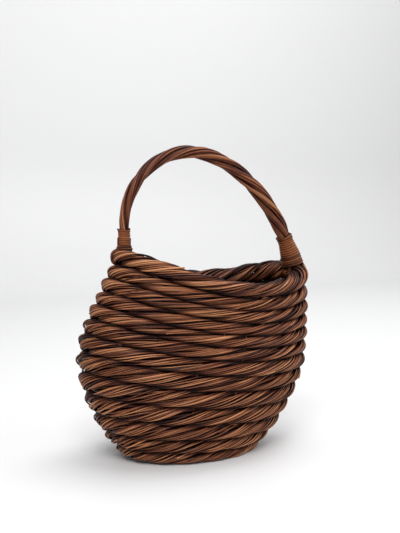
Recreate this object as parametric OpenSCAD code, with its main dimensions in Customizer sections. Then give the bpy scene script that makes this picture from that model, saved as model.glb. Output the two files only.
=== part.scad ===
// Woven market basket: oval courses of two-ply twined rope on bent ribs, a woven base,
// and a fixed handle of twisted rods, lashed at both ends and looped round the rim.
// Origin: centre of the base's resting face. +X runs along the basket, -Y is its front, +Z is up.

/* [Body] */
// Height of the rim's upper edge, halfway between its raised ends and its dipped sides
rim_h = 235.5; // [210:0.5:290]
// Height at which the body is widest
belly_h = 130; // [105:1:160]
// Length at the widest level, between rope centres
belly_len = 288; // [240:1:350]
// Depth at the widest level, between rope centres
belly_depth = 145; // [120:1:176]
// Length at the rim, between rope centres
rim_len = 241; // [200:1:292]
// Depth at the rim, between rope centres
rim_depth = 109; // [90:1:132]
// Length at the foot, between rope centres
foot_len = 146; // [121:1:178]
// Depth at the foot, between rope centres
foot_depth = 94; // [78:1:114]
// Sideways shift of the rim against the foot
lean = 35; // [0:1:42]
// Rise of the rim's two ends, and dip of its two sides
rim_saddle = 12.5; // [0:0.5:18]
// Rise of the rim's back right quarter against its front right quarter
rim_skew = 5; // [0:0.5:6]
// Drop of the foot's front and back against its two ends
foot_drop = 4.5; // [0:0.5:5.5]
// Largest rise of the courses' left ends, and fall of their right ends
course_tilt = 18.5; // [0:0.5:22]

/* [Weave] */
// Number of rope courses from rim to foot
courses = 13; // [9:1:15]
// Full twists of the rope in one course; every twist holds four stakes
twists = 4; // [3:1:5]
// Height of the rim course
rim_course_h = 21; // [17:0.5:26]
// Height of the foot course's lower edge above the table
foot_course_z = 6; // [6:0.5:9]
// Half thickness of a ply, through the wall
ply_r = 2.9; // [2:0.1:3.6]
// Half thickness of a ply in the rim course
rim_ply_r = 3.7; // [2.6:0.1:4.6]
// Slack between neighbouring courses
course_gap = 2; // [1:0.1:3]

/* [Ribs and base] */
// Radius of a rib
rib_r = 1.3; // [0.9:0.1:1.6]
// Thickness of the woven base below its ribs
base_under = 2.4; // [1.6:0.1:3.2]
// Thickness of the woven base above its ribs
base_over = 0.5; // [0.4:0.1:2]
// Gap between the base's edge and the foot course
base_gap = 1.5; // [0.5:0.5:4]

/* [Handle] */
// Height of the handle's centreline above the rim
handle_rise = 147.5; // [110:0.5:180]
// Sideways place of the handle's highest point
apex_x = 3; // [-20:1:30]
// Radius of the handle at its left end, at its thickest place and at its right end
handle_left_r = 6.3; // [5:0.1:8]
handle_full_r = 10; // [8:0.1:12]
handle_right_r = 8.6; // [7:0.1:11]
// Share of the handle's length at which it is thickest
handle_peak = 0.78; // [0.5:0.02:0.9]
// Distance of each foot from the rim rope's centre, towards the opening
left_inset = -0.5; // [-2:0.5:9]
right_inset = 4; // [0:0.5:13]
// Straight length of the left leg
left_leg = 28; // [20:1:40]
// Length of handle in which its rods make one full turn
handle_lay = 190; // [120:5:260]
// Length of the left and right lashings
left_lash_len = 26; // [20:1:34]
right_lash_len = 36; // [26:1:44]
// Radius of the rods that the lashings are wound with
lash_r = 1.15; // [0.9:0.05:1.5]
// Radius of the rods that loop round the rim
loop_r = 1.2; // [0.9:0.1:1.6]

/* [Hidden] */
// Clearance between pieces that lie against each other
fit = 0.15;
// Clearance between a stake and the plies that pass it
stake_clear = 0.45;
// Clearance over and under a loop where it passes under the rim rope
loop_clear = 0.4;
// Web between the two layers of ribs in the base
rib_web = 0.5;
ply_sides = 8;
rod_sides = 6;
ply_steps = 8 * twists;
handle_rods = 6;
handle_steps = 30;
lash_steps = 10;
lash_sides = 5;
loop_steps = 3;
oval_steps = 72;
stake_step = 360 / (4 * twists);
cross_ribs = 2 * twists - 2;

function two_digits(n) = str(n < 10 ? "0" : "", n);
function ply_name(k, side) = str("course_", two_digits(k), side == 0 ? "_ply_a" : "_ply_b");
function cross_name(n) = str("cross_rib_", n);
function long_name(n) = str("long_rib_", n);
function rod_name(n) = str("handle_rod_", n);

// Vectors and sweeps

function unit(v) = v / norm(v);
function mix(a, b, s) = a + (b - a) * s;

// The outline of one section: an ellipse with half sizes ru and rv along u and v.
function section(c, u, v, ru, rv, sides) =
    [for (m = [0:sides - 1]) c + u * ru * cos(360 * m / sides) + v * rv * sin(360 * m / sides)];

// A solid through a list of sections, closed into a ring or capped at both ends.
module sweep(rings, closed = false) {
    n = len(rings);
    m = len(rings[0]);
    spans = closed ? n : n - 1;
    sides = [for (r = [0:spans - 1]) for (k = [0:m - 1])
        let (a = r * m, b = (r + 1) % n * m, k2 = (k + 1) % m)
        each [[a + k, b + k, b + k2], [a + k, b + k2, a + k2]]];
    caps = closed ? [] : [[for (k = [0:m - 1]) k], [for (k = [m - 1:-1:0]) (n - 1) * m + k]];
    polyhedron([for (r = rings) each r], concat(sides, caps), convexity = 8);
}

// A round rod along a list of points; ref is a direction that the rod never runs along.
function path_dir(p, i) = unit(p[min(i + 1, len(p) - 1)] - p[max(i - 1, 0)]);
function rod_rings(p, r, sides, ref) =
    [for (i = [0:len(p) - 1])
        let (t = path_dir(p, i), u = unit(cross(ref, t)))
        section(p[i], u, cross(t, u), r, r, sides)];

// A smooth curve through key points (a Catmull-Rom spline).
function curve_at(a, b, c, d, s) =
    (2 * b + (c - a) * s + (2 * a - 5 * b + 4 * c - d) * s * s
        + (3 * b - a - 3 * c + d) * s * s * s) / 2;
function curve(p, steps) =
    [for (i = [0:len(p) - 2]) for (j = [0:steps - 1])
        curve_at(p[max(i - 1, 0)], p[i], p[i + 1], p[min(i + 2, len(p) - 1)], j / steps),
    p[len(p) - 1]];

// The wall: a point at angle t round the basket (0 at the right end, 90 at the front)
// and at level z.

function above(z) = max(0, (z - belly_h) / (rim_h - belly_h));
function below(z) = max(0, (belly_h - z) / belly_h);
function half_len(z) =
    (belly_len - (belly_len - rim_len) * pow(above(z), 1.2)
        - (belly_len - foot_len) * pow(below(z), 2.2)) / 2;
function half_depth(z) =
    (belly_depth - (belly_depth - rim_depth) * pow(above(z), 1.1)
        - (belly_depth - foot_depth) * pow(below(z), 2.6)) / 2;
function lean_at(z) = lean * pow(sin(86 * z / rim_h), 3.8);
function saddle_at(z) = rim_saddle * pow(z / rim_h, 1.2);
function tilt_at(z) = -course_tilt * sin(143 * z / rim_h);
function drop_at(t, z) = -foot_drop * pow(sin(t), 2) * pow(1 - z / rim_h, 8);
function skew_at(t, z) = rim_skew * pow(z / rim_h, 4) * (0.4 - sin(2 * t) - 0.4 * sin(t));
function wall(t, z) = [
    lean_at(z) + half_len(z) * cos(t),
    -half_depth(z) * sin(t),
    z + saddle_at(z) * cos(2 * t) + tilt_at(z) * cos(t) + skew_at(t, z) + drop_at(t, z)
];

// Level of the lower edge of course k; level 0 is the rim's upper edge. The courses are
// a little taller low down than near the rim, and the foot course turns under.
function level(k) =
    k == 0 ? rim_h
    : let (u = (k - 1) / (courses - 1))
        foot_course_z + (rim_h - rim_course_h - foot_course_z)
            * (1 - u + 0.033 * sin(360 * pow(u, 1.6)));

// The rope of course k: its centre, its direction, the way out of the wall and the way up it.
function course_mid(k, t) = (wall(t, level(k - 1)) + wall(t, level(k))) / 2;
function course_rise(k, t) = wall(t, level(k - 1)) - wall(t, level(k));
function course_dir(k, t) = unit(course_mid(k, t + 0.5) - course_mid(k, t - 0.5));
function course_out(k, t) = unit(cross(course_rise(k, t), course_dir(k, t)));
function course_up(k, t) = cross(course_dir(k, t), course_out(k, t));
function course_h(k, t) = course_rise(k, t) * course_up(k, t);

// Distance of a ply from the rope's centre, which leaves room for the stakes: they stand
// where a ply is an eighth of a turn away from its widest place.
function swing_for(r) = (r + rib_r + stake_clear) / cos(45);
rope_swing = swing_for(ply_r);
rim_swing = swing_for(rim_ply_r);
// Slack around the rim course, which lets the handle's loops pass under it.
rim_gap = 4 * (loop_r + loop_clear) - course_gap;
function swing(k) = k == 1 ? rim_swing : rope_swing;
function thick(k) = k == 1 ? rim_ply_r : ply_r;
function slack(k) = k == 1 ? rim_gap : course_gap;
// A ply's climb above and below the rope's centre, which is also its half height where the
// two plies pass; elsewhere it spreads until it fills the course.
function climb(k, t) = (course_h(k, t) - slack(k)) / 4;
// Where a ply is in its twist: 0 is outside the wall, 90 is above the rope's centre.
function twist_at(k, side, t) = -twists * t + 90 * ((k + 1) % 2) + 180 * side;

function ply_section(k, side, t) =
    let (a = twist_at(k, side, t), h = climb(k, t), out = course_out(k, t), up = course_up(k, t),
        c = course_mid(k, t) + out * swing(k) * cos(a) + up * h * sin(a))
    section(c, out, up, thick(k), h * (2 - abs(sin(a))) - fit, ply_sides);

module course_ply(k, side) {
    color(side == 0 ? "sienna" : "peru")
        sweep([for (j = [0:ply_steps - 1]) ply_section(k, side, 360 * j / ply_steps)], closed = true);
}

// Ribs: each runs down one stake line of the wall, across the base and up another.

function raised(p, z) = [p.x, p.y, max(p.z, z)];
function stake(t) = concat(
    [course_mid(1, t) + course_up(1, t) * climb(1, t)],
    [for (k = [1:courses]) course_mid(k, t)],
    [raised(wall(t, level(courses)), rib_r + fit)]
);
function reversed(p) = [for (i = [len(p) - 1:-1:0]) p[i]];

rib_bend = rib_r + 2;
module rib(t1, t2, z, run, ref) {
    down = stake(t1);
    up = stake(t2);
    a = down[len(down) - 1];
    b = up[len(up) - 1];
    across = [
        [a.x, a.y, z] + run * rib_bend,
        [a.x, a.y, z] + run * (rib_bend + 6),
        [b.x, b.y, z] - run * (rib_bend + 6),
        [b.x, b.y, z] - run * rib_bend
    ];
    color("tan") sweep(rod_rings(concat(down, across, reversed(up)), rib_r, rod_sides, ref));
}
module cross_rib(n) {
    t = stake_step * (n + 0.5);
    rib(t, -t, cross_rib_z, [0, 1, 0], [1, 0, 0]);
}
module long_rib(n) {
    t = n == 1 ? stake_step / 2 : -stake_step / 2;
    rib(180 - t, t, long_rib_z, [1, 0, 0], [0, 1, 0]);
}

// Base: a woven oval plate, drawn solid, with a tunnel for each rib.

foot_mid_z = (level(courses - 1) + level(courses)) / 2;
// It ends inside the foot course, and not past the bends of the ribs.
inside_foot = rope_swing + ply_r + base_gap;
base_a = min(half_len(foot_mid_z) - inside_foot, half_len(level(courses)) - rib_bend);
base_b = min(half_depth(foot_mid_z) - inside_foot, half_depth(level(courses)) - rib_bend);
tunnel_r = rib_r + fit;
cross_rib_z = base_under + tunnel_r;
long_rib_z = cross_rib_z + 2 * tunnel_r + rib_web;
base_t = long_rib_z + tunnel_r + base_over;

module base_mat() {
    color("saddlebrown") difference() {
        linear_extrude(base_t)
            polygon([for (i = [0:oval_steps - 1])
                [base_a * cos(360 * i / oval_steps), base_b * sin(360 * i / oval_steps)]]);
        for (n = [1:cross_ribs])
            translate([wall(stake_step * (n + 0.5), level(courses)).x, 0, cross_rib_z])
                rotate([90, 0, 0]) cylinder(h = 3 * base_b, r = tunnel_r, center = true, $fn = 32);
        for (side = [-1, 1])
            translate([0, side * wall(stake_step / 2, level(courses)).y, long_rib_z])
                rotate([0, 90, 0]) cylinder(h = 3 * base_a, r = tunnel_r, center = true, $fn = 32);
    }
}

// Handle: a centreline from the left foot over the top to the right foot, in the plane y = 0.

foot_seat = rim_gap / 2 - 2 * fit;
// A foot of radius r at angle t; it is raised to clear the rim rope, which leans inwards.
function foot(t, inset, r) =
    wall(t, rim_h) - [cos(t) * inset, wall(t, rim_h).y, foot_seat - r * max(0, course_out(1, t).z)];
left_foot = foot(180, left_inset, handle_left_r);
right_foot = foot(0, right_inset, handle_right_r);
apex_z = rim_h + handle_rise;
// The right side is a superellipse that would stand upright this far below the foot.
right_fade = 46;
right_power = 1.8;
right_base_z = right_foot.z - right_fade;
right_share = right_fade / (apex_z - right_base_z);
right_w = (right_foot.x - apex_x) / pow(1 - pow(right_share, right_power), 1 / right_power);
right_end = acos(pow(right_share, right_power / 2));
arc_steps = 40;

handle_path = concat(
    [left_foot],
    [for (i = [0:arc_steps - 1]) let (a = 90 * i / arc_steps) [
        mix(apex_x, left_foot.x, cos(a)), 0,
        mix(left_foot.z + left_leg, apex_z, sin(a))]],
    [for (i = [0:arc_steps]) let (a = right_end * i / arc_steps) [
        apex_x + right_w * pow(sin(a), 2 / right_power), 0,
        right_base_z + (apex_z - right_base_z) * pow(cos(a), 2 / right_power)]]
);
function gap_after(i) = i + 1 < len(handle_path) ? norm(handle_path[i + 1] - handle_path[i]) : 0;
handle_at = [for (s = 0, i = 0; i < len(handle_path); s = s + gap_after(i), i = i + 1) s];
handle_len = handle_at[len(handle_at) - 1];
handle_xs = [for (i = [0:len(handle_path) - 1]) [handle_at[i], handle_path[i].x]];
handle_zs = [for (i = [0:len(handle_path) - 1]) [handle_at[i], handle_path[i].z]];

// The centreline at a distance s along it, with its direction and its sideways direction.
function handle_mid(s) = [lookup(s, handle_xs), 0, lookup(s, handle_zs)];
function handle_dir(s) = unit(handle_mid(min(s + 3, handle_len)) - handle_mid(max(s - 3, 0)));
function handle_side(s) = let (d = handle_dir(s)) [d.z, 0, -d.x];
function handle_r(s) =
    let (u = s / handle_len)
    mix(handle_left_r, handle_full_r, min(1, u / handle_peak))
        - (handle_full_r - handle_right_r) * pow(max(0, (u - handle_peak) / (1 - handle_peak)), 2);
front = [0, -1, 0];

// A point beside the centreline, at angle a round it and distance r from it.
function beside(s, a, r) = handle_mid(s) + (front * cos(a) + handle_side(s) * sin(a)) * r;

module handle_strand(offset, shift) {
    color("chocolate") sweep([for (j = [0:handle_steps])
        let (s = handle_len * j / handle_steps, r = handle_r(s) / 3)
        section(beside(s, shift - 360 * s / handle_lay, offset * 2 * r),
            front, handle_side(s), r - fit / 2, r - fit / 2, rod_sides)]);
}
module handle_core() handle_strand(0, 0);
module handle_rod(n) handle_strand(1, 360 * n / handle_rods);

// Lashings: close-wound coils round the handle's feet, wider where they cover the loops' ends.

loop_tip = 11;
flare_fade = 6;
lash_pitch = 2 * lash_r + fit;
leg_off = loop_r + fit;
function flare(s) = (2 * leg_off + fit) * max(0, min(1, 1 - (s - loop_tip - lash_pitch) / flare_fade));

// The coil starts at distance s0 along the handle; dir is 1 up from the left foot and
// -1 up from the right foot.
module lashing(s0, dir, length) {
    turns = floor((length - 2 * lash_r) / lash_pitch);
    first = lash_r + 2 * (fit + loop_r);
    points = [for (i = [0:turns * lash_steps])
        let (rise = first + lash_pitch * i / lash_steps, s = s0 + dir * rise)
        beside(s, 360 * i / lash_steps, handle_r(s) + lash_r + fit + flare(rise))];
    rings = [for (i = [0:len(points) - 1])
        let (s = s0 + dir * (first + lash_pitch * i / lash_steps),
            out = unit(points[i] - handle_mid(s)), t = path_dir(points, i),
            u = unit(out - t * (out * t)))
        section(points[i], u, cross(t, u), lash_r, lash_r, lash_sides)];
    color("peru") sweep(rings);
}
module left_lashing() lashing(0, 1, left_lash_len);
module right_lashing() lashing(handle_len, -1, right_lash_len);

// Rim loops: each rod goes down outside the rim rope, under it, and up inside it, and both
// its ends lie along the handle's foot, inside the lashing.

module rim_loop(t, s0, dir) {
    c = course_mid(1, t);
    out = course_out(1, t);
    up = course_up(1, t);
    low = course_h(1, t) / 2 - (rim_gap - course_gap) / 4;
    ply_out = rim_ply_r + leg_off + 2 * fit;
    ply_top = 2 * climb(1, t) + leg_off + fit;
    corner_w = rim_swing + ply_out * cos(60);
    corner_h = ply_top * sin(60);
    face = handle_side(s0) * out > 0 ? 1 : -1;
    seat = handle_mid(s0);
    leg = handle_side(s0) * face * (handle_r(s0) + leg_off);
    lift = handle_dir(s0) * dir;
    inner_w = max(corner_w, (c - seat + leg) * out);
    keys = [
        seat + leg + lift * loop_tip,
        seat + leg + lift * 2 * loop_r,
        c + out * corner_w + up * corner_h,
        c + out * (rim_swing + ply_out),
        c + out * corner_w - up * corner_h,
        c + out * rim_swing - up * low,
        c - out * rim_swing - up * low,
        c - out * corner_w - up * corner_h,
        c - out * (rim_swing + ply_out),
        c - out * inner_w + up * corner_h,
        seat - leg + lift * 2 * loop_r,
        seat - leg + lift * loop_tip
    ];
    color("sienna") sweep(rod_rings(curve(keys, loop_steps), loop_r, rod_sides, front));
}
module left_rim_loop() rim_loop(180, 0, 1);
module right_rim_loop() rim_loop(0, handle_len, -1);

for (k = [1:courses])
    for (side = [0, 1])
        course_ply(k, side);
for (n = [1:cross_ribs])
    cross_rib(n);
for (n = [1:2])
    long_rib(n);
base_mat();
handle_core();
for (n = [1:handle_rods])
    handle_rod(n);
left_lashing();
right_lashing();
left_rim_loop();
right_rim_loop();
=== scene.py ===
"""Looks of a woven market basket: rope courses of thin rods, ribs, a woven base and a handle.

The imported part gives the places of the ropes, ribs and base and of the handle's feet and top.
The file is laid out as an add-on: the properties hold what a user may change, each operator
makes one group of pieces, and main() runs them all.
Lengths are in metres, +X runs along the basket, -Y is its front and +Z is up.
"""

import bpy
import numpy as np
from bpy.props import FloatProperty, FloatVectorProperty, IntProperty, PointerProperty
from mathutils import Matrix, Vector


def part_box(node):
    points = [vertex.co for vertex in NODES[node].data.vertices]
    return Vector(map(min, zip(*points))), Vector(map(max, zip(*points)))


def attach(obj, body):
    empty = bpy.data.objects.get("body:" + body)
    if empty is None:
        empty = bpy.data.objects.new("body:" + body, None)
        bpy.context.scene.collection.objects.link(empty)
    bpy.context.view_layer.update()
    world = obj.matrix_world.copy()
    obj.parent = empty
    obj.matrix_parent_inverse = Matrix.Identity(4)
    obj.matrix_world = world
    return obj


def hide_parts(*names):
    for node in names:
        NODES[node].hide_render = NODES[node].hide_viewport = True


bl_info = {
    "name": "Woven market basket",
    "version": (1, 0, 0),
    "blender": (4, 5, 0),
    "location": "3D View > Sidebar > Basket",
    "description": "Makes the rods, ribs, base, handle and stage of a woven market basket",
    "category": "Add Mesh",
}

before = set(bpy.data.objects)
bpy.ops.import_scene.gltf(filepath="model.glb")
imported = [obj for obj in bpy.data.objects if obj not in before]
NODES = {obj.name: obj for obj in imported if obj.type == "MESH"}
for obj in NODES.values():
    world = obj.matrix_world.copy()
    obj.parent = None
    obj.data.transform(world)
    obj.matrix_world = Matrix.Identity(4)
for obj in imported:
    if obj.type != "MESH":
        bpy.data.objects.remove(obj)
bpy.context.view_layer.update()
MM = 0.001

STAKE_R = 1.28 * MM  # radius of the drawn ribs
RIB_R = 1.3 * MM  # radius that the base's rods clear as they pass a rib
STAKE_TOP = 5.5 * MM  # how far a stake stands above the middle of the rim rope
RIB_BEND = 9 * MM  # how far inside the foot course a rib comes down to the base


# Arrays and curves


def unit(v):
    """Vectors divided by their lengths."""
    return v / np.maximum(np.linalg.norm(v, axis=-1, keepdims=True), 1e-12)


def dot(a, b):
    """Dot product over the last axis, kept as an axis."""
    return (a * b).sum(-1, keepdims=True)


def node_points(name):
    """The corners of a CAD node, each once, as an (n, 3) array."""
    mesh = NODES[name].data
    co = np.empty(len(mesh.vertices) * 3, np.float32)
    mesh.vertices.foreach_get("co", co)
    return np.unique(co.reshape(-1, 3).astype(float).round(6), axis=0)


def wander(rng, rows, s, waves, size):
    """Slow noise that closes on itself: for each row, a sum of sines of 1 to `waves` turns over
    s from 0 to 1, with random phases and heights that fall with the number of turns."""
    n = np.arange(1, waves + 1)
    height = rng.normal(size=(rows, waves, 1)) / np.sqrt(n)[None, :, None]
    phase = rng.uniform(0, 2 * np.pi, (rows, waves, 1))
    turns = 2 * np.pi * n[None, :, None] * s[None, None, :]
    return size * (height * np.sin(turns + phase)).sum(1) / np.sqrt((1 / n).sum() / 2)


def smooth_curve(keys, steps):
    """A curve through key points: Catmull-Rom cubics, with each end point doubled."""
    keys = np.asarray(keys, float)
    p = np.concatenate([keys[:1], keys, keys[-1:]])
    s = (np.arange(steps) / steps)[None, :, None]
    a, b, c, d = (p[i : len(p) - 3 + i][:, None, :] for i in range(4))
    made = (
        2 * b + (c - a) * s + (2 * a - 5 * b + 4 * c - d) * s**2 + (3 * b - a - 3 * c + d) * s**3
    ) / 2
    return np.concatenate([made.reshape(-1, 3), keys[-1:]])


def even_curve(points, count):
    """The same line with `count` points spaced evenly along it, and their distances."""
    run = np.r_[0, np.cumsum(np.linalg.norm(np.diff(points, axis=0), axis=1))]
    s = np.linspace(0, run[-1], count)
    return np.stack([np.interp(s, run, points[:, i]) for i in range(3)], -1), s


# Rods: every piece is a set of round rods swept along lines


class Rods:
    """Collects swept rods, then makes them one mesh."""

    def __init__(self):
        self.points, self.faces, self.maps, self.tones, self.count = [], [], [], [], 0

    def add(self, paths, refs, radius, tone, sides=8, closed=False, crest=None, shade=0.3):
        """Sweeps one rod along each of the (rods, n, 3) paths. Round a point P with direction D,
        a section is P + r (A cos w + B sin w), where A is the reference direction made square to
        D, B is D x A, and w goes once round. radius and tone are arrays that fit (rods, n). With
        a crest direction C, a corner on side N of the rod gets painted shade: it is darker by
        shade (1 - N . C) / 2, where a rod meets its neighbours. An open rod gets rounded, closed
        tips."""
        paths = np.asarray(paths, float)
        rods, n = paths.shape[:2]
        radius = np.broadcast_to(radius, (rods, n)).astype(float)
        tone = np.broadcast_to(tone, (rods, n)).astype(float)
        refs = np.broadcast_to(refs, paths.shape)
        if closed:
            ahead = np.roll(paths, -1, 1) - np.roll(paths, 1, 1)
        else:
            ahead = np.gradient(paths, axis=1)
        ahead = unit(ahead)
        if not closed:
            paths, refs, radius, tone, ahead = self.tips(paths, refs, radius, tone, ahead)
            n = paths.shape[1]
            crest = None if crest is None else self.both(np.broadcast_to(crest, (rods, n - 6, 3)))
        a = unit(refs - ahead * dot(refs, ahead))
        b = np.cross(ahead, a)
        w = 2 * np.pi * np.arange(sides) / sides
        ring = (
            a[:, :, None] * np.cos(w)[None, None, :, None]
            + b[:, :, None] * np.sin(w)[None, None, :, None]
        )
        tone = np.repeat(tone[:, :, None], sides, axis=2)
        # Painted shade: the sides of a rod that turn away from its crest are darker.
        if crest is not None:
            tone = tone + shade * ((ring * np.asarray(crest)[..., None, :]).sum(-1) - 1) / 2
        verts = paths[:, :, None] + ring * radius[:, :, None, None]
        gaps = np.diff(paths, axis=1, append=paths[:, :1])
        run = np.cumsum(np.linalg.norm(gaps, axis=-1), 1)
        run = np.concatenate([np.zeros((rods, 1)), run], 1)
        spans = n if closed else n - 1
        i, j = np.meshgrid(np.arange(spans), np.arange(sides), indexing="ij")
        i2, j2 = (i + 1) % n, (j + 1) % sides
        quads = np.stack([i * sides + j, i * sides + j2, i2 * sides + j2, i2 * sides + j], -1)
        quads = quads.reshape(1, -1, 4) + (np.arange(rods) * n * sides)[:, None, None]
        across = np.stack([j, j + 1, j + 1, j], -1).reshape(-1, 4) / sides
        along = np.stack([i, i, i + 1, i + 1], -1).reshape(-1, 4)
        shift = self.count + np.arange(rods)
        u = run[:, along] + 0.37 * shift[:, None, None]
        v = np.broadcast_to(across[None], u.shape) + 1.0 * shift[:, None, None]
        before = sum(len(p) for p in self.points)
        self.faces.append(quads.reshape(-1, 4) + before)
        self.maps.append(np.stack([u, v], -1).reshape(-1, 2))
        if not closed:
            # Each end is closed by quads laid across it from side to side.
            c = np.arange(sides // 2 - 1)
            cap = np.stack([c, c + 1, sides - 2 - c, sides - 1 - c], -1)
            caps = np.concatenate([cap[:, ::-1], cap + (n - 1) * sides])
            caps = caps[None] + (np.arange(rods) * n * sides)[:, None, None]
            self.faces.append(caps.reshape(-1, 4) + before)
            flat = np.repeat(u[:, :1, :1], caps.shape[1], 1).repeat(4, 2)
            self.maps.append(np.stack([flat, flat * 0 + 0.5], -1).reshape(-1, 2))
        self.points.append(verts.reshape(-1, 3))
        self.tones.append(tone.ravel())
        self.count += rods

    @staticmethod
    def both(x):
        """An array with its first and last sections given three times more."""
        return np.concatenate([np.repeat(x[:, :1], 3, 1), x, np.repeat(x[:, -1:], 3, 1)], 1)

    def tips(self, paths, refs, radius, tone, ahead):
        """Three more sections past each end of every rod, each smaller, the last nearly nothing."""
        out, small = np.array([0.45, 0.75, 0.85]), np.array([0.9, 0.55, 0.02])
        r0, r1 = radius[:, :1], radius[:, -1:]
        head = paths[:, :1] - ahead[:, :1] * (r0 * out[::-1])[..., None]
        tail = paths[:, -1:] + ahead[:, -1:] * (r1 * out)[..., None]
        paths = np.concatenate([head, paths, tail], 1)
        radius = np.concatenate([r0 * small[::-1], radius, r1 * small], 1)
        return paths, self.both(refs), radius, self.both(tone), self.both(ahead)

    def make(self, name, material, nodes):
        """Puts the rods into one mesh object with their maps and tones, for CAD nodes."""
        verts = np.concatenate(self.points)
        quads = np.concatenate(self.faces)
        mesh = bpy.data.meshes.new(name)
        mesh.vertices.add(len(verts))
        mesh.vertices.foreach_set("co", verts.astype(np.float32).ravel())
        mesh.loops.add(quads.size)
        mesh.loops.foreach_set("vertex_index", quads.astype(np.int32).ravel())
        mesh.polygons.add(len(quads))
        mesh.polygons.foreach_set("loop_start", np.arange(0, quads.size, 4, dtype=np.int32))
        mesh.uv_layers.new(name="along")
        mesh.uv_layers["along"].data.foreach_set(
            "uv", np.concatenate(self.maps).astype(np.float32).ravel()
        )
        tones = mesh.attributes.new("tone", "FLOAT", "POINT")
        tones.data.foreach_set("value", np.concatenate(self.tones).astype(np.float32))
        mesh.update(calc_edges=True)
        mesh.polygons.foreach_set("use_smooth", np.ones(len(quads), bool))
        mesh.validate()
        piece = bpy.data.objects.new(name, mesh)
        bpy.context.scene.collection.objects.link(piece)
        mesh.materials.append(material)
        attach(piece, "root")
        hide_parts(*nodes)


# Courses: where each rope of the wall runs, found from its CAD plies


def waves(t):
    """1, cos t, sin t, cos 2t and sin 2t, in a last axis."""
    t = np.asarray(t, float)
    return np.stack([np.ones_like(t), np.cos(t), np.sin(t), np.cos(2 * t), np.sin(2 * t)], -1)


def fit_ring(points):
    """A rope's centre line x = x0 + a cos t, y = -b sin t, z = a sum of waves of t, fitted by
    least squares, with t found again from x and y each time."""
    x, y, z = points.T
    x0, a, b = (x.max() + x.min()) / 2, np.ptp(x) / 2, np.ptp(y) / 2
    for _ in range(8):
        t = np.arctan2(-y / b, (x - x0) / a)
        x0, a = np.linalg.lstsq(np.c_[np.ones_like(t), np.cos(t)], x, rcond=None)[0]
        b = -(y @ np.sin(t)) / (np.sin(t) @ np.sin(t))
    return np.r_[x0, a, b, np.linalg.lstsq(waves(t), z, rcond=None)[0]]


def ring_point(k, t):
    """The centre of rope k at angle t: 0 is the right end and a quarter turn the front."""
    x0, a, b = RINGS[k][:3]
    return np.stack([x0 + a * np.cos(t), -b * np.sin(t), waves(t) @ RINGS[k][3:]], -1)


def ring_frame(k, t):
    """The centre of rope k with the directions out of the wall, up it and along the rope. Up is
    the rise between neighbouring ropes made square to the rope, carried on at both edges."""
    last = len(RINGS) - 1
    ahead = unit(ring_point(k, t + 0.01) - ring_point(k, t - 0.01))
    if k == 0:
        rise = 1.5 * (ring_point(0, t) - ring_point(1, t))
        rise = rise - 0.5 * (ring_point(1, t) - ring_point(2, t))
    elif k == last:
        rise = 1.5 * (ring_point(last - 1, t) - ring_point(last, t))
        rise = rise - 0.5 * (ring_point(last - 2, t) - ring_point(last - 1, t))
    else:
        rise = ring_point(k - 1, t) - ring_point(k + 1, t)
    out = unit(np.cross(rise, ahead))
    return ring_point(k, t), out, np.cross(ahead, out), ahead


def measure(k, points):
    """Each point's angle t, and its distances out of the wall and up it from rope k's centre."""
    x0, a, b = RINGS[k][:3]
    t = np.arctan2(-points[:, 1] / b, (points[:, 0] - x0) / a)
    centre, out, up, _ = ring_frame(k, t)
    return t, ((points - centre) * out).sum(1), ((points - centre) * up).sum(1)


def ply_nodes(k):
    """The names of a course's two plies. Courses are numbered from 1 at the rim."""
    return [f"course_{k + 1:02d}_ply_{side}" for side in "ab"]


COURSES = sum(name.endswith("_ply_a") for name in NODES)
PLY_POINTS = [[node_points(name) for name in ply_nodes(k)] for k in range(COURSES)]
RINGS = [fit_ring(np.concatenate(pair)) for pair in PLY_POINTS]


def course_sizes(k):
    """Half width of course k's rope through the wall, the waves of its half height, fitted to
    the tallest point in each of 24 sectors, its full twists per round, and each ply's phase,
    from the turn that lines its points up with a steady twist."""
    t, out, up = measure(k, np.concatenate(PLY_POINTS[k]))
    half_out = out.max()
    sector = np.floor((t + np.pi) / (2 * np.pi) * 24).astype(int) % 24
    tops = np.array([np.abs(up[sector == i]).max() for i in range(24)])
    mid = (np.arange(24) + 0.5) / 24 * 2 * np.pi - np.pi
    height = np.linalg.lstsq(waves(mid), tops, rcond=None)[0]
    phases = []
    for points in PLY_POINTS[k]:
        t, out, up = measure(k, points)
        turn = out / half_out + 1j * up / tops.mean()
        sums = {n: (turn * np.exp(1j * n * t)).sum() for n in range(3, 6)}
        twists = max(sums, key=lambda n: abs(sums[n]))
        phases.append(np.angle(sums[twists]))
    return half_out, height, twists, phases


SIZES = [course_sizes(k) for k in range(COURSES)]


def half_height(k, t):
    """Half height of course k's rope at angle t."""
    return waves(t) @ SIZES[k][1]


# Properties


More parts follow.
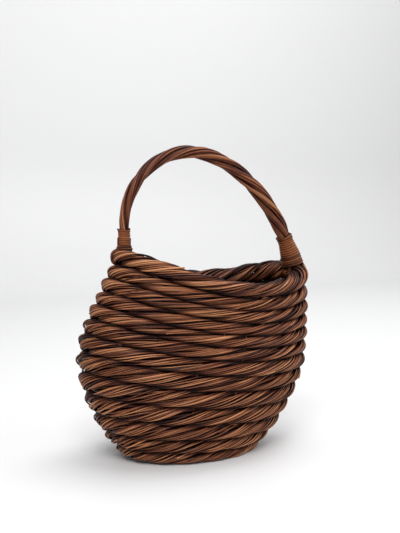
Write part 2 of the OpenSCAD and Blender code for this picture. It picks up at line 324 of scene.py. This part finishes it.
class WeaveSettings(bpy.types.PropertyGroup):
    """Sizes and colours of the rods."""

    ring_rods: IntProperty(
        name="Rods round a ply", description="Rods that lie round one ply",
        default=21, min=6, max=28,
    )
    rod_radius: FloatProperty(
        name="Rod radius", description="Usual radius of a rod in the rope courses",
        default=0.86 * MM, unit="LENGTH",
    )
    ply_roll: IntProperty(
        name="Ply roll", description="Turns of a ply's rods round its own middle in one round",
        default=1, min=0, max=4,
    )
    ply_offset: FloatProperty(
        name="Ply offset", description="Distance of a ply from the rope's centre, as a share",
        default=0.53, subtype="FACTOR",
    )
    ply_thick: FloatProperty(
        name="Ply thickness", description="Half thickness of a ply along the twist, as a share",
        default=0.45, subtype="FACTOR",
    )
    ply_wide: FloatProperty(
        name="Ply width", description="Half width of a ply across the twist, as a share",
        default=0.97, subtype="FACTOR",
    )
    fill: FloatProperty(
        name="Fill", description="How far a rope swells into the slack round it",
        default=1.3 * MM, unit="LENGTH",
    )
    steps: IntProperty(
        name="Steps", description="Sections of a rod in one round of the basket",
        default=168, min=48,
    )
    handle_rods: IntProperty(
        name="Handle rods", description="Rods in the handle", default=18, min=7, max=24
    )
    base_rod: FloatProperty(
        name="Base rod", description="Radius of the rods woven through the base",
        default=1.15 * MM, unit="LENGTH",
    )
    dark: FloatVectorProperty(
        name="Dark vine", description="Colour of the darkest rods", subtype="COLOR",
        default=(0.022, 0.0028, 0.0008), size=3,
    )
    brown: FloatVectorProperty(
        name="Brown vine", description="Colour of most rods", subtype="COLOR",
        default=(0.165, 0.048, 0.0165), size=3,
    )
    golden: FloatVectorProperty(
        name="Golden vine", description="Colour of the lightest rods", subtype="COLOR",
        default=(0.52, 0.23, 0.105), size=3,
    )
    cane: FloatVectorProperty(
        name="Cane", description="Colour of the lashings", subtype="COLOR",
        default=(0.2, 0.06, 0.017), size=3,
    )
    floor: FloatVectorProperty(
        name="Floor", description="Colour of the floor and backdrop", subtype="COLOR",
        default=(0.7, 0.7, 0.7), size=3,
    )


def settings():
    """This scene's settings."""
    return bpy.context.scene.weave


# Materials


def add_node(tree, kind, place, inputs=None, **values):
    """A shader node at a place, with its properties and its sockets' values set."""
    node = tree.nodes.new(kind)
    node.location = place
    for key, value in values.items():
        setattr(node, key, value)
    for key, value in (inputs or {}).items():
        node.inputs[key].default_value = value
    return node


def vine_material(name, stops, rough=0.46, gloss=0.22):
    """Debarked vine: a rod's tone, its own lightness with painted shade added, picks a colour from
    dark over brown to golden, long streaks and fine grain along the rod shift it, and the grain
    gives the bump and the sheen's breaks."""
    mat = bpy.data.materials.new(name)
    mat.use_nodes = True
    tree = mat.node_tree
    tree.nodes.clear()
    link = tree.links.new
    out = add_node(tree, "ShaderNodeOutputMaterial", (900, 0))
    shader = add_node(
        tree, "ShaderNodeBsdfPrincipled", (620, 0),
        {"Roughness": rough, "Specular IOR Level": gloss},
    )
    uv = add_node(tree, "ShaderNodeUVMap", (-1300, 0), uv_map="along")
    tone = add_node(tree, "ShaderNodeAttribute", (-1300, 300), attribute_name="tone")
    place = add_node(tree, "ShaderNodeTexCoord", (-1300, -300))
    long_map = add_node(tree, "ShaderNodeMapping", (-1100, 0), {"Scale": (22.0, 1.7, 1.0)})
    streak = add_node(
        tree, "ShaderNodeTexNoise", (-900, 0), {"Scale": 1.0, "Detail": 3.0, "Roughness": 0.6}
    )
    fine_map = add_node(tree, "ShaderNodeMapping", (-1100, -350), {"Scale": (150.0, 9.0, 1.0)})
    grain = add_node(
        tree, "ShaderNodeTexNoise", (-900, -350), {"Scale": 1.0, "Detail": 4.0, "Roughness": 0.65}
    )
    patch = add_node(
        tree, "ShaderNodeTexNoise", (-900, 350), {"Scale": 26.0, "Detail": 2.0, "Roughness": 0.5}
    )
    link(uv.outputs["UV"], long_map.inputs["Vector"])
    link(uv.outputs["UV"], fine_map.inputs["Vector"])
    link(place.outputs["Object"], patch.inputs["Vector"])
    link(long_map.outputs["Vector"], streak.inputs["Vector"])
    link(fine_map.outputs["Vector"], grain.inputs["Vector"])
    parts = [
        (tone.outputs["Fac"], 1.0, 0.0),
        (streak.outputs["Fac"], 0.5, -0.25),
        (grain.outputs["Fac"], 0.36, -0.18),
        (patch.outputs["Fac"], 0.24, -0.12),
    ]
    total = None
    for i, (socket, scale, shift) in enumerate(parts):
        scaled = add_node(
            tree, "ShaderNodeMath", (-640, 300 - 200 * i), {1: scale, 2: shift},
            operation="MULTIPLY_ADD",
        )
        link(socket, scaled.inputs[0])
        if total is None:
            total = scaled
            continue
        added = add_node(tree, "ShaderNodeMath", (-440, 300 - 200 * i), operation="ADD")
        link(total.outputs[0], added.inputs[0])
        link(scaled.outputs[0], added.inputs[1])
        total = added
    ramp = add_node(tree, "ShaderNodeValToRGB", (-100, 150))
    elements = ramp.color_ramp.elements
    while len(elements) < len(stops):
        elements.new(0.5)
    for element, (at, colour) in zip(elements, stops):
        element.position = at
        element.color = (*colour, 1.0)
    link(total.outputs[0], ramp.inputs["Fac"])
    link(ramp.outputs["Color"], shader.inputs["Base Color"])
    dull = add_node(
        tree, "ShaderNodeMapRange", (200, -250),
        {"From Min": 0.3, "From Max": 0.7, "To Min": rough - 0.1, "To Max": rough + 0.16},
    )
    link(grain.outputs["Fac"], dull.inputs["Value"])
    link(dull.outputs["Result"], shader.inputs["Roughness"])
    bump = add_node(tree, "ShaderNodeBump", (380, -450), {"Strength": 0.5, "Distance": 0.25 * MM})
    link(grain.outputs["Fac"], bump.inputs["Height"])
    link(bump.outputs["Normal"], shader.inputs["Normal"])
    link(shader.outputs["BSDF"], out.inputs["Surface"])
    return mat


def mixed(a, b, share):
    """A colour between two colours."""
    return tuple((1 - share) * np.array(a) + share * np.array(b))


def vine():
    """The rods of the wall, base and handle."""
    w = settings()
    mauve = (0.085, 0.022, 0.012)
    stops = [
        (0.0, mixed(w.dark, (0, 0, 0), 0.6)), (0.2, tuple(w.dark)),
        (0.36, mixed(w.dark, mauve, 0.75)), (0.52, tuple(w.brown)),
        (0.7, mixed(w.brown, w.golden, 0.4)), (0.95, tuple(w.golden)),
    ]
    return bpy.data.materials.get("vine rod") or vine_material("vine rod", stops)


def cane():
    """The lashings and loops, with a narrower range of colours than the wall."""
    w = settings()
    stops = [
        (0.0, tuple(w.dark)), (0.3, mixed(w.dark, w.cane, 0.3)),
        (0.55, mixed(w.brown, w.cane, 0.75)), (0.8, tuple(w.cane)),
        (1.0, mixed(w.cane, w.golden, 0.6)),
    ]
    return bpy.data.materials.get("cane binding") or vine_material("cane binding", stops, 0.42)


def stake_wood():
    """The ribs, paler than the rods round them."""
    w = settings()
    stops = [
        (0.0, mixed(w.brown, w.dark, 0.5)), (0.5, mixed(w.brown, w.golden, 0.35)),
        (1.0, mixed(w.golden, (0.5, 0.36, 0.22), 0.5)),
    ]
    return bpy.data.materials.get("stake") or vine_material("stake", stops, 0.55, 0.3)


# Pieces


def ply_rods(k, side, rng):
    """One ply of course k. At angle t the rope's section turns by a = phase - twists t. A rod at
    (p, q) in the ply, p along the twist and q across it, lies at
    centre + out W ((d + p) cos a - q sin a) + up H ((d + p) sin a + q cos a),
    where W and H are the rope's half width and half height less a rod's radius."""
    w = settings()
    half_out, _, twists, phases = SIZES[k]
    s = np.arange(w.steps) / w.steps
    t = 2 * np.pi * s
    centre, out, up, ahead = ring_frame(k, t)
    radius = w.rod_radius * (1.18 if k == 0 else 1.0)
    wide = half_out + 0.3 * MM - radius
    high = half_height(k, t) + w.fill - radius
    rods = w.ring_rods
    # Evenly spaced places on the ply's oval, then three thicker rods that fill it.
    fine = np.linspace(0, 2 * np.pi, 721)
    oval = np.stack([w.ply_thick * np.cos(fine), w.ply_wide * np.sin(fine)], -1)
    run = np.r_[0, np.cumsum(np.linalg.norm(np.diff(oval, axis=0), axis=1))]
    spaced = (np.arange(rods) + rng.uniform(-0.16, 0.16, rods) + 0.5 * side) / rods * run[-1]
    turn = np.interp(spaced % run[-1], run, fine)[:, None] - w.ply_roll * t
    turn = turn + wander(rng, rods, s, 6, 0.16)
    shell = 1 + wander(rng, rods, s, 7, 0.05)
    p = w.ply_thick * np.cos(turn) * shell
    q = w.ply_wide * np.sin(turn) * shell
    inner = np.array([[-0.02, -0.55], [0.02, 0.0], [-0.02, 0.55]])
    p = np.concatenate([p, inner[:, :1] + wander(rng, 3, s, 5, 0.02)])
    q = np.concatenate([q, inner[:, 1:] + wander(rng, 3, s, 5, 0.03)])
    a = (phases[side] - twists * t)[None]
    # The ply draws in a little where it dives between its neighbours.
    away = w.ply_offset - 0.05 * np.sin(a) ** 2
    put_out = wide * ((away + p) * np.cos(a) - q * np.sin(a))
    put_up = high * ((away + p) * np.sin(a) + q * np.cos(a))
    paths = centre + out * put_out[..., None] + up * put_up[..., None]
    count = len(p)
    size = radius * rng.uniform(0.84, 1.18, (count, 1)) * (1 + wander(rng, count, s, 9, 0.06))
    size[rods:] *= 2.3
    # No rod sinks into the surface that the basket stands on.
    paths[..., 2] = np.maximum(paths[..., 2], size)
    tone = 0.69 + rng.normal(0, 0.15, (count, 1)) + wander(rng, count, s, 10, 0.07)
    # Painted shade: rods are darker where they dive into the rope or lie against a neighbouring
    # rope, where less light reaches them.
    edge = np.abs(put_up) / high
    deep = np.hypot(put_out / wide, edge)
    tone = tone - 0.9 * np.clip(edge - 0.6, 0, 1) - 0.5 * np.clip(0.85 - deep, 0, 1)
    # Painted shade: the inside, which gets less light, is darker than the outside.
    tone = tone - 0.16 * np.clip(-put_out / wide, 0, 1)
    crest = unit(out * put_out[..., None] + up * put_up[..., None])
    return paths, out, size, tone, crest


def loose_ends(paths, size, tone, crest, rng, count):
    """Rod ends that lie on a ply: each is a stretch of one of its rods that rises out of it over
    its first fifth, to 1.2 of its radius, and goes on with the cube of the distance to 2.5."""
    n = paths.shape[1]
    length = 14
    row = rng.integers(0, len(paths) - 3, count)
    start = rng.integers(0, n, count)
    at = (start[:, None] + np.arange(length) * rng.choice([-1, 1], (count, 1))) % n
    pick = (row[:, None], at)
    u = np.linspace(0, 1, length)
    lift = size[pick] * (1.2 + 1.3 * u**3)
    lift = np.where(u < 0.2, lift * u / 0.2, lift)
    line = paths[pick] + crest[pick] * lift[..., None]
    return line, crest[pick], size[pick] * 0.85, tone[pick] + rng.normal(0.03, 0.08, (count, 1))


class CourseOperator(bpy.types.Operator):
    """Make the thirteen rope courses: two plies each, every ply a bundle of twisted rods"""

    bl_idname = "basket.courses"
    bl_label = "Rope courses"

    def execute(self, context):
        for k in range(COURSES):
            for side, node in enumerate(ply_nodes(k)):
                rng = np.random.default_rng(1000 + 10 * k + side)
                rods = Rods()
                paths, out, size, tone, crest = ply_rods(k, side, rng)
                # The sides of the rods that turn away from their crests get painted shade.
                rods.add(paths, out, size, tone, 7, closed=True, crest=crest, shade=1.15)
                rods.add(*loose_ends(paths, size, tone, crest, rng, 5), sides=6)
                rods.make(f"{node}_rods", vine(), [node])
        return {"FINISHED"}


def rib_run(name):
    """Where a rib's straight run crosses the base, which is its x for a cross rib and its y for
    a long one, and its height, both from the CAD corners nearest the middle."""
    points = node_points(name)
    axis = 0 if name.startswith("cross") else 1
    far = np.abs(points[:, 1 - axis])
    near = points[far < far.min() + 1 * MM]
    return (near.min(0) + near.max(0))[[axis, 2]] / 2


def stake_points(t):
    """The points of a stake at angle t, from above the rim rope down through each course."""
    down = [ring_point(k, np.array(t)) for k in range(COURSES)]
    return [down[0] + ring_frame(0, np.array(t))[2] * STAKE_TOP, *down]


def rib_ends(name):
    """The angles t at which a rib's two stakes stand, from the places of its CAD ends."""
    points = node_points(name)
    high = points[points[:, 2] > np.percentile(points[:, 2], 60)]
    axis = 1 if name.startswith("cross") else 0
    middle = np.median(points[:, axis])
    ends = []
    for part in (high[high[:, axis] < middle], high[high[:, axis] > middle]):
        t, _, _ = measure(0, part[part[:, 2] > part[:, 2].max() - 12 * MM])
        ends.append(np.angle(np.exp(1j * t).mean()))
    return ends


class RibOperator(bpy.types.Operator):
    """Make the ribs: each goes down the wall inside the ropes, across the base and up again"""

    bl_idname = "basket.ribs"
    bl_label = "Ribs"

    def execute(self, context):
        for number, name in enumerate(sorted(n for n in NODES if "_rib_" in n)):
            t0, t1 = rib_ends(name)
            z = rib_run(name)[1]
            rng = np.random.default_rng(300 + number)
            a, b = stake_points(t0), stake_points(t1)
            end_a, end_b = a[-1], b[-1]
            across = unit((end_b - end_a) * [1, 1, 0])
            lines = [p * [1, 1, 0] + [0, 0, z] for p in (end_a, end_b)]
            keys = a + [lines[0] + across * RIB_BEND, lines[1] - across * RIB_BEND] + b[::-1]
            path, _ = even_curve(smooth_curve(keys, 8), 150)
            side = unit(np.cross(across, [0, 0, 1.0]))
            s = np.linspace(0, 1, len(path))
            size = STAKE_R * (1 + wander(rng, 1, s, 9, 0.05))
            rods = Rods()
            rods.add(path[None], side, size, 0.55 + wander(rng, 1, s, 8, 0.12), sides=8)
            rods.make(f"{name}_stake", stake_wood(), [name])
        return {"FINISHED"}


class BaseOperator(bpy.types.Operator):
    """Make the woven base: oval rounds of rods that go over and under the ribs in turn"""

    bl_idname = "basket.base"
    bl_label = "Woven base"

    def execute(self, context):
        w = settings()
        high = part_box("base_mat")[1]
        half_a, half_b = high.x, high.y
        names = sorted(n for n in NODES if "_rib_" in n)
        ribs = [(0 if name.startswith("cross") else 1, *rib_run(name)) for name in names]
        rng = np.random.default_rng(77)
        r = w.base_rod
        pitch = 1.96 * r
        t = 2 * np.pi * np.arange(160) / 160
        s = t / (2 * np.pi)
        z_mid = np.mean([z for _, _, z in ribs])
        rods = Rods()
        rounds = int((half_b - r) / pitch)
        # Two rounds more fill the gap between the base and the foot course.
        for n in range(-2, rounds):
            a, b = half_a - r - pitch * n, half_b - r - pitch * n
            at, level = [], []
            for axis, place, z in ribs:
                reach = a if axis == 0 else b
                if abs(place) > 0.97 * reach:
                    continue
                turn = np.arccos(place / a) if axis == 0 else np.arcsin(place / b)
                pair = (turn, -turn) if axis == 0 else (turn, np.pi - turn)
                at += [x % (2 * np.pi) for x in pair]
                level += [z, z]
            order = np.argsort(at)
            at, level = np.array(at)[order], np.array(level)[order]
            over = np.where((np.arange(len(at)) + n) % 2 == 0, 1, -1)
            heights = level + over * (RIB_R + r + 0.05 * MM)
            heights = np.clip(heights, r + 0.02 * MM, None)
            knots = np.concatenate([at - 2 * np.pi, at, at + 2 * np.pi])
            i = np.searchsorted(knots, t) - 1
            share = (t - knots[i]) / (knots[i + 1] - knots[i])
            share = (1 - np.cos(np.pi * share)) / 2
            tall = np.tile(heights, 3)
            z = tall[i] * (1 - share) + tall[i + 1] * share
            path = np.stack([a * np.cos(t), b * np.sin(t), z], -1)
            tone = 0.4 + rng.normal(0, 0.13) + wander(rng, 1, s, 7, 0.12)
            size = r * (1 + wander(rng, 1, s, 8, 0.04))
            rods.add(path[None], [0, 0, 1.0], size, tone, sides=8, closed=True)
        # The middle is closed with rods laid along the base.
        a, b = half_a - r - pitch * rounds, half_b - r - pitch * rounds
        for y in np.arange(-b, b + r, 2.1 * r):
            x = np.linspace(-a, a, 40)
            path = np.stack([x, np.full(40, y), np.full(40, z_mid - RIB_R - 1.6 * r)], -1)
            rods.add(path[None], [0, 0, 1.0], r, 0.45 + rng.normal(0, 0.1), sides=8)
        rods.make("base_weave", vine(), ["base_mat"])
        return {"FINISHED"}


# Handle

# The handle's radius at its left foot, at its fullest and at its right foot, the share of its
# length where it is fullest, the length of one turn of its lay, and its core's radius at the top.
LEFT_R, FULL_R, RIGHT_R, PEAK, LAY, CORE_R = 6.3 * MM, 10 * MM, 8.6 * MM, 0.78, 190 * MM, 2.7 * MM


def handle_line():
    """The handle's centre line, as 400 even points, and their distances. The CAD core's end
    sections give the feet and its top the apex; the left side is a straight leg and a quarter
    ellipse, the right side the superellipse of power 1.8 that the core follows."""
    core = node_points("handle_core")
    ends = []
    for part in (core[core[:, 0] < 0], core[core[:, 0] > 0]):
        ends.append(part[np.argsort(part[:, 2])[:6]].mean(0) * [1, 0, 1])
    left, right = ends
    top = core[np.argmax(core[:, 2])]
    apex_z = top[2] - CORE_R
    apex_x = 3 * MM
    leg, fade, power = 28 * MM, 46 * MM, 1.8
    u = np.linspace(0, np.pi / 2, 80)
    up = np.stack(
        [
            apex_x + (left[0] - apex_x) * np.cos(u),
            0 * u,
            left[2] + leg + (apex_z - left[2] - leg) * np.sin(u),
        ], -1,
    )
    base_z = right[2] - fade
    share = fade / (apex_z - base_z)
    width = (right[0] - apex_x) / (1 - share**power) ** (1 / power)
    u = np.linspace(0, np.arccos(share ** (power / 2)), 80)
    down = np.stack(
        [
            apex_x + width * np.sin(u) ** (2 / power),
            0 * u,
            base_z + (apex_z - base_z) * np.cos(u) ** (2 / power),
        ], -1,
    )
    line = np.concatenate([left[None], up[:-1], down])
    return even_curve(line, 400)


HANDLE, HANDLE_S = handle_line()
HANDLE_LEN = HANDLE_S[-1]
FRONT = np.array([0.0, -1.0, 0.0])


def handle_at(s):
    """Centre, direction and sideways direction of the handle at distance s; sideways is away
    from the opening. Past a foot the line goes straight on."""
    centre = np.stack([np.interp(s, HANDLE_S, HANDLE[:, i]) for i in range(3)], -1)
    ahead = unit(
        np.stack([np.interp(s + 2 * MM, HANDLE_S, HANDLE[:, i]) for i in range(3)], -1)
        - np.stack([np.interp(s - 2 * MM, HANDLE_S, HANDLE[:, i]) for i in range(3)], -1)
    )
    centre = centre + ahead * np.asarray(s - np.clip(s, 0, HANDLE_LEN))[..., None]
    sideways = np.stack([-ahead[..., 2], 0 * s, ahead[..., 0]], -1)
    return centre, ahead, sideways


def handle_radius(s):
    """The handle's radius: it grows evenly from the left foot to its peak, then shrinks with the
    square of the distance past it."""
    u = np.clip(s / HANDLE_LEN, 0, 1)
    past = np.maximum(0, (u - PEAK) / (1 - PEAK))
    return LEFT_R + (FULL_R - LEFT_R) * np.minimum(1, u / PEAK) - (FULL_R - RIGHT_R) * past**2


def bound(s):
    """Share of its radius that the handle keeps: 0.86 where the lashings pull it tight, and from
    there evenly up to all of it past 44 mm of the left foot or 52 mm of the right one."""
    end = np.minimum(s / (44 * MM), (HANDLE_LEN - s) / (52 * MM))
    return 0.86 + 0.14 * np.clip((end - 0.6) / 0.4, 0, 1)


class HandleOperator(bpy.types.Operator):
    """Make the handle: two twisted lobes of tapering rods round a core"""

    bl_idname = "basket.handle"
    bl_label = "Handle"

    def execute(self, context):
        w = settings()
        steps = 220
        s = np.linspace(0, HANDLE_LEN, steps)
        u = s / HANDLE_LEN
        centre, _, sideways = handle_at(s)
        full = handle_radius(s) * bound(s)
        nodes = sorted(n for n in NODES if n.startswith("handle_"))
        for lobe in range(2):
            rng = np.random.default_rng(500 + lobe)
            count = (w.handle_rods + 1 - lobe) // 2
            turn = 2 * np.pi * (np.arange(count) + rng.uniform(-0.1, 0.1, count)) / count
            turn = turn[:, None] + wander(rng, count, u, 3, 0.1)
            # A lobe is an oval whose rods stand round (0.44, 0) in shares of the handle's radius.
            p = 0.44 + 0.33 * np.cos(turn)
            q = 0.68 * np.sin(turn)
            spin = 2 * np.pi * s / LAY + np.pi * lobe + 0.35
            x = full * (p * np.cos(spin) - q * np.sin(spin))
            y = full * (p * np.sin(spin) + q * np.cos(spin))
            paths = centre + FRONT * x[..., None] + sideways * y[..., None]
            thick = full * 0.175 * rng.uniform(0.9, 1.12, (count, 1))
            tone = 0.55 + rng.normal(0, 0.08, (count, 1)) + wander(rng, count, u, 7, 0.06)
            rods = Rods()
            # Painted shade: the sides of the rods that face into the lobe are darker.
            crest = unit(paths - centre)
            rods.add(paths, FRONT, thick, tone, sides=10, crest=crest, shade=0.7)
            core = centre + (FRONT * np.cos(spin)[:, None] + sideways * np.sin(spin)[:, None]) * (
                full * 0.42
            )[:, None]
            rods.add(core[None], FRONT, full * 0.34, tone.mean() - 0.15, sides=8)
            mine = nodes[:4] if lobe == 0 else nodes[4:]
            rods.make(f"handle_lobe_{lobe + 1}", vine(), mine)
        return {"FINISHED"}


def spread(rise, flare, fade):
    """How far a lashing stands off the handle: by the whole flare 1 mm up from the foot, and
    evenly less with the rise, until nothing is left a fade further on."""
    return flare * np.clip(1 - (rise - 1 * MM) / fade, 0, 1)


def coil(s0, way, length, rng, pitch, r, flare, fade, first):
    """A close coil round the handle: at angle w it has gone first + pitch w / 2 pi along from s0,
    at the handle's radius plus 0.6 of the rod's plus the spread. Returns its path and its
    outward directions."""
    turns = (length - first) / pitch
    w = np.linspace(0, 2 * np.pi * turns, int(turns * 26))
    rise = first + pitch * w / (2 * np.pi)
    s = s0 + way * rise
    centre, _, sideways = handle_at(s)
    out = FRONT * np.cos(w)[:, None] + sideways * np.sin(w)[:, None]
    wobble = 1 + wander(rng, 1, w / w[-1], 24, 0.012)[0]
    far = (handle_radius(s) * bound(s) + r * 0.6 + spread(rise, flare, fade)) * wobble
    return centre + out * far[:, None], out


class LashingOperator(bpy.types.Operator):
    """Make the lashings: close coils of cane round the handle's feet, with cut ends"""

    bl_idname = "basket.lashings"
    bl_label = "Lashings"

    def execute(self, context):
        # Each lashing: its foot's place and way up the handle, where its coil starts and ends, the
        # coil's pitch, its rod's radius, and the flare and its fade.
        feet = (
            ("left", 0.0, 1, -1.5 * MM, 25 * MM, 2.7 * MM, 1.4 * MM, 2.8 * MM, 6 * MM),
            ("right", HANDLE_LEN, -1, -4 * MM, 39 * MM, 3.1 * MM, 1.6 * MM, 5 * MM, 30 * MM),
        )
        for name, s0, way, first, length, pitch, r, flare, fade in feet:
            rng = np.random.default_rng(len(name))
            path, out = coil(s0, way, length, rng, pitch, r, flare, fade, first)
            rods = Rods()
            u = np.linspace(0, 1, len(path))
            # The coil is darkest at its foot and in its last turns.
            light = np.clip(4 * (u - 0.28), 0, 1) * np.clip(9 * (0.9 - u), 0, 1)
            tone = 0.4 + 0.36 * light + wander(rng, 1, u, 30, 0.1)
            size = r * (1 + wander(rng, 1, u, 26, 0.06))
            # Painted shade: the side of the coil that faces the handle is darker.
            rods.add(path[None], out[None], size, tone, sides=10, crest=out, shade=0.5)
            # Cut ends: one tucked out at the top of the coil, one at its foot.
            for at, angle, tip in ((length - 4 * MM, 1.9, 4 * MM), (4 * MM, 4.3, 4 * MM)):
                centre, ahead, sideways = handle_at(np.array(s0 + way * at))
                beside = FRONT * np.cos(angle) + sideways * np.sin(angle)
                far = handle_radius(s0 + way * at) * bound(s0 + way * at)
                start = centre + beside * (far + spread(at, flare, fade) + 0.6 * MM)
                lift = way * ahead
                keys = [start - lift * 5 * MM, start, start + (lift + 0.35 * beside) * tip]
                end = smooth_curve(keys, 6)
                rods.add(end[None], FRONT + 0.3 * sideways, 1.1 * MM, 0.35, sides=8)
            rods.make(f"{name}_lashing_coil", cane(), [f"{name}_lashing"])
        return {"FINISHED"}


class LoopOperator(bpy.types.Operator):
    """Make the loops that tie the handle's feet round the rim rope"""

    bl_idname = "basket.loops"
    bl_label = "Rim loops"

    def execute(self, context):
        for name, t, s0, way in (("left", np.pi, 0.0, 1), ("right", 0.0, HANDLE_LEN, -1)):
            rng = np.random.default_rng(40 + len(name))
            centre, out, up, along = ring_frame(0, np.array(t))
            half_out = SIZES[0][0]
            half_up = half_height(0, t)
            foot, ahead, sideways = handle_at(np.array(s0))
            lift = way * ahead
            face = 1 if sideways @ out > 0 else -1
            leg = sideways * face * (handle_radius(s0) + 1.3 * MM)
            rods = Rods()
            r = (1.0 if name == "left" else 1.3) * MM
            offsets = (-1.0, 1.4) if name == "left" else (-5.5, -3.0, 3.2, 5.6)
            for offset in np.array(offsets) * MM:
                w_out, w_up = half_out + 1.6 * r, half_up + 1.5 * r
                keys = [
                    foot + leg + lift * 14 * MM,
                    foot + leg + lift * 4 * MM,
                    centre + out * 0.62 * w_out + up * 0.95 * w_up,
                    centre + out * w_out,
                    centre + out * 0.7 * w_out - up * 0.9 * w_up,
                    centre - up * w_up * 1.02,
                    centre - out * 0.7 * w_out - up * 0.9 * w_up,
                    centre - out * w_out,
                    centre - out * 0.8 * w_out + up * 0.7 * w_up,
                    foot - leg + lift * 3 * MM,
                    foot - leg + lift * 13 * MM,
                ]
                keys = np.array(keys) + along * offset
                keys[2:9] += along * rng.normal(0, 0.5 * MM, (7, 1))
                keys[[0, -1]] -= along * offset * 0.35
                # The rods part on the inner side, which leaves a dark opening between them.
                keys[6:9] += along * offset * 0.6
                path, _ = even_curve(smooth_curve(keys, 8), 90)
                tone = 0.35 + rng.normal(0, 0.08)
                rods.add(path[None], along, r * rng.uniform(0.9, 1.1), tone, sides=8)
            # Rod ends that curl out of the rope beside the opening.
            for place in np.array((-2.5, 0.0, 2.8) if name == "right" else (0.5, 3.5)) * MM:
                start = centre - out * (half_out - 1 * MM) + along * place
                bend = rng.uniform(0.8, 1.2) * MM
                keys = [
                    start - up * 5 * MM,
                    start + up * bend,
                    start + up * 4 * bend - out * 2 * bend,
                    start + up * 2.5 * bend - out * 5 * bend,
                    start - up * bend - out * 5 * bend,
                ]
                path = smooth_curve(keys, 6)
                rods.add(path[None], along, 0.8 * MM, 0.5 + rng.normal(0, 0.08), sides=8)
            rods.make(f"{name}_loop_rods", cane(), [f"{name}_rim_loop"])
        return {"FINISHED"}


# Stage


class StageOperator(bpy.types.Operator):
    """Make the floor, the backdrop, the lights and the camera"""

    bl_idname = "basket.stage"
    bl_label = "Stage"

    def execute(self, context):
        scene = bpy.context.scene
        # The floor runs back and curves up into the backdrop: a quarter circle between planes.
        turn = np.linspace(0, np.pi / 2, 14)
        far, bend = 1.6, 0.5
        y = np.r_[-3.0, far, far + bend * np.sin(turn[1:]), far + bend]
        z = np.r_[0.0, 0.0, bend * (1 - np.cos(turn[1:])), 3.0]
        x = np.array([-4.0, 4.0])
        verts = np.stack([np.tile(x, len(y)), np.repeat(y, 2), np.repeat(z, 2)], -1)
        i = np.arange(len(y) - 1) * 2
        faces = np.stack([i, i + 1, i + 3, i + 2], -1)
        mesh = bpy.data.meshes.new("floor")
        mesh.from_pydata(verts.tolist(), [], faces.tolist())
        mesh.polygons.foreach_set("use_smooth", np.ones(len(faces), bool))
        floor = bpy.data.objects.new("floor", mesh)
        scene.collection.objects.link(floor)
        mat = bpy.data.materials.new("floor paper")
        mat.use_nodes = True
        shader = mat.node_tree.nodes["Principled BSDF"]
        shader.inputs["Base Color"].default_value = (*settings().floor, 1)
        shader.inputs["Roughness"].default_value = 0.55
        mesh.materials.append(mat)
        world = bpy.data.worlds.new("studio")
        world.use_nodes = True
        world.node_tree.nodes["Background"].inputs["Color"].default_value = (0.97, 0.98, 1, 1)
        world.node_tree.nodes["Background"].inputs["Strength"].default_value = 0.42
        scene.world = world
        basket, wall = Vector((0, 0, 0.17)), Vector((1.2, 2.1, 0.75))
        lamps = (
            ("key", (-0.7, -1.3, 1.75), 1.1, 33, basket),
            ("fill", (1.7, -0.9, 1.1), 1.4, 12, basket),
            ("top", (0.15, 0.1, 2.1), 1.2, 18, basket),
            ("wall wash", (1.3, 0.5, 2.5), 1.4, 30, wall),
        )
        for name, place, size, power, aim in lamps:
            lamp = bpy.data.lights.new(name, "AREA")
            lamp.size = size
            lamp.energy = power
            lamp_object = bpy.data.objects.new(name, lamp)
            lamp_object.location = place
            lamp_object.rotation_euler = (aim - Vector(place)).to_track_quat("-Z", "Y").to_euler()
            scene.collection.objects.link(lamp_object)
        camera = bpy.data.cameras.new("camera")
        camera.lens = 54.03
        camera.sensor_fit = "AUTO"
        camera_object = bpy.data.objects.new("camera", camera)
        camera_object.location = (-0.400, -0.933, 0.322)
        # The camera looks down by the pitch, along a heading given as its x and y.
        pitch, (ahead_x, ahead_y) = np.radians(4.75), (0.4067, 0.9135)
        look = Vector((ahead_x * np.cos(pitch), ahead_y * np.cos(pitch), -np.sin(pitch)))
        camera_object.rotation_euler = look.to_track_quat("-Z", "Y").to_euler()
        scene.collection.objects.link(camera_object)
        scene.camera = camera_object
        scene.view_settings.view_transform = "Standard"
        return {"FINISHED"}


OPERATORS = (
    CourseOperator,
    RibOperator,
    BaseOperator,
    HandleOperator,
    LashingOperator,
    LoopOperator,
    StageOperator,
)


class BasketPanel(bpy.types.Panel):
    """The basket's settings and its operators"""

    bl_idname = "VIEW3D_PT_basket"
    bl_label = "Basket"
    bl_space_type = "VIEW_3D"
    bl_region_type = "UI"
    bl_category = "Basket"

    def draw(self, context):
        for name in WeaveSettings.__annotations__:
            self.layout.prop(context.scene.weave, name)
        for operator in OPERATORS:
            self.layout.operator(operator.bl_idname)


CLASSES = (WeaveSettings, *OPERATORS, BasketPanel)


def register():
    """Adds the classes and the scene's settings."""
    for cls in CLASSES:
        bpy.utils.register_class(cls)
    bpy.types.Scene.weave = PointerProperty(type=WeaveSettings)


def unregister():
    """Takes them away again."""
    del bpy.types.Scene.weave
    for cls in reversed(CLASSES):
        bpy.utils.unregister_class(cls)


def main():
    register()
    for operator in OPERATORS:
        group, name = operator.bl_idname.split(".")
        getattr(getattr(bpy.ops, group), name)()


if __name__ == "__main__":
    main()
